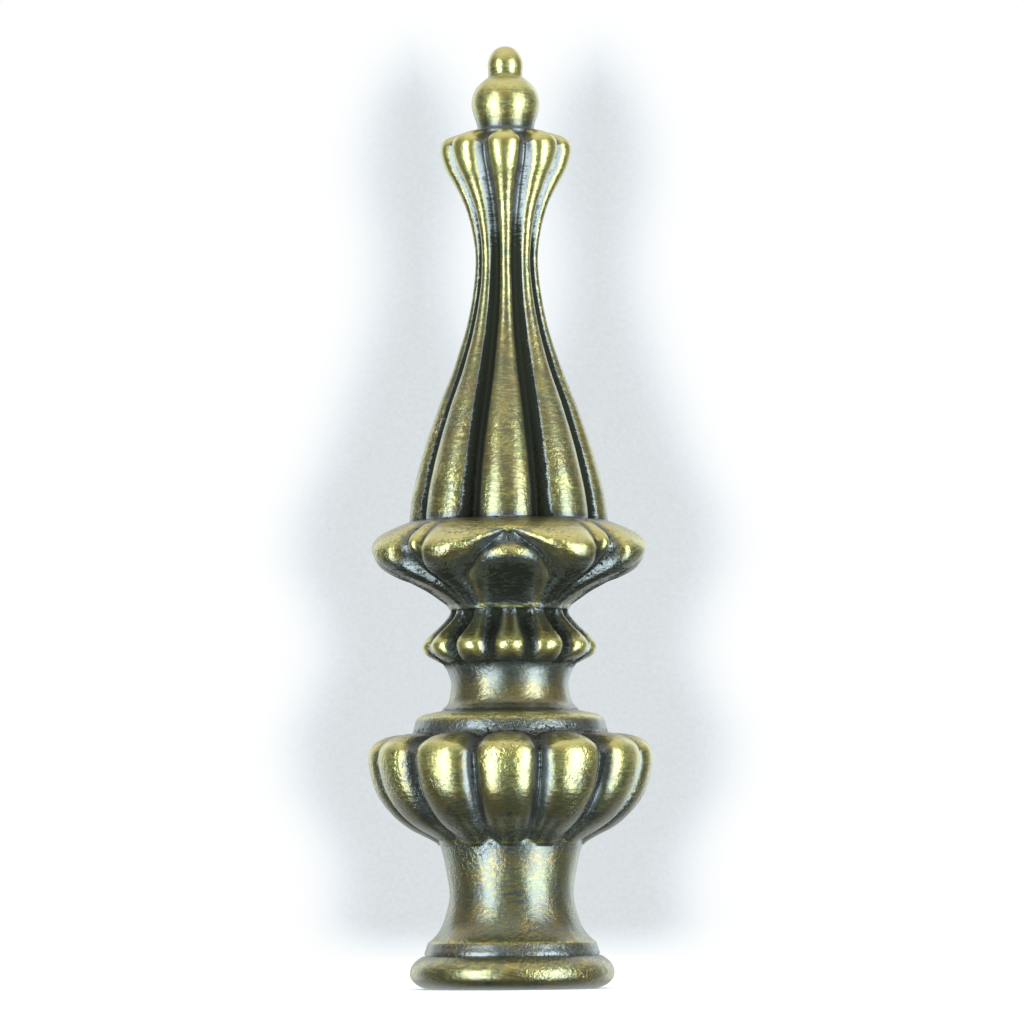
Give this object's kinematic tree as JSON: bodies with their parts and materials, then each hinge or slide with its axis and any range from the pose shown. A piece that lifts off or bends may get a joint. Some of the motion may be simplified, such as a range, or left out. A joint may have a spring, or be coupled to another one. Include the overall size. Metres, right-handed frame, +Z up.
{
  "type": "brass finial",
  "caption": "Cast brass finial: ball and knob on a ribbed crown and spire, lobed skirt with buds, ribbed collar, gadrooned bowl, scooped pedestal and round foot.",
  "frame": {"origin": "middle of the flat underside of the foot", "axes": "+Z up the axis to the ball on top; the middle of one big skirt lobe, with its bud, faces -Y"},
  "size_m": [0.023, 0.023, 0.076],
  "materials": {
    "antique_brass": "cast brass, antiqued olive black in the hollows and rubbed bright with a fine brush on everything raised"
  },
  "bodies": {
    "root": {"finial": "antique_brass"}
  },
  "joints": []
}
